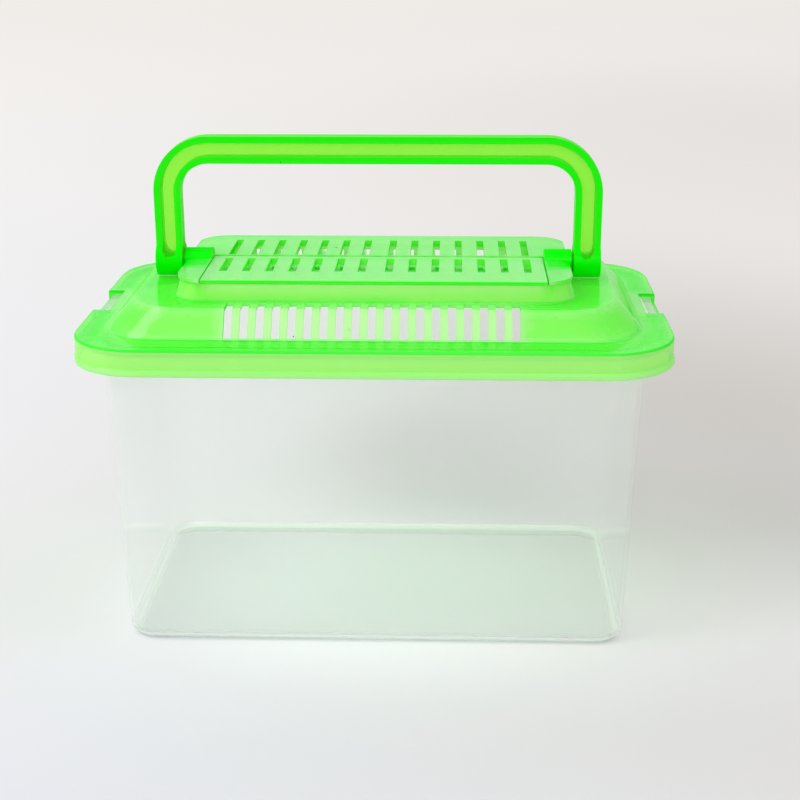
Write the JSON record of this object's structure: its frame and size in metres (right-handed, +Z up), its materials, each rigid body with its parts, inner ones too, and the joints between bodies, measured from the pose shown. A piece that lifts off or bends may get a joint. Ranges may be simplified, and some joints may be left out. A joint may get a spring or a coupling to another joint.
{
  "type": "plastic pet keeper",
  "caption": "Clear tapered plastic tank with a vented push-on lid, a hinged feeding hatch in its top plate and a folding carry handle.",
  "frame": {"origin": "centre of the tank's base, on the surface that it stands on", "axes": "+X along the length, -Y towards the front with the sloping grille, +Z up"},
  "size_m": [0.18, 0.1104, 0.1522],
  "materials": {
    "clear_tank": "frosted clear",
    "lid_plastic": "translucent gloss",
    "hatch_plastic": "translucent gloss",
    "handle_plastic": "translucent gloss"
  },
  "bodies": {
    "tank": {"tank": "clear_tank"},
    "lid": {"lid": "lid_plastic"},
    "hatch": {"hatch": "hatch_plastic"},
    "handle": {"handle": "handle_plastic"}
  },
  "joints": [
    {"name": "lid_lift", "type": "slide", "parent": "tank", "child": "lid", "axis": [0, 0, 1], "range_m": [0, 0.06]},
    {"name": "handle_fold", "type": "hinge", "parent": "lid", "child": "handle", "pos_m": [0, 0, 0.1132], "axis": [-1, 0, 0], "range_deg": [-90, 90]},
    {"name": "hatch_hinge", "type": "hinge", "parent": "lid", "child": "hatch", "pos_m": [0, 0, 0.11255], "axis": [-1, 0, 0], "range_deg": [0, 75]}
  ]
}
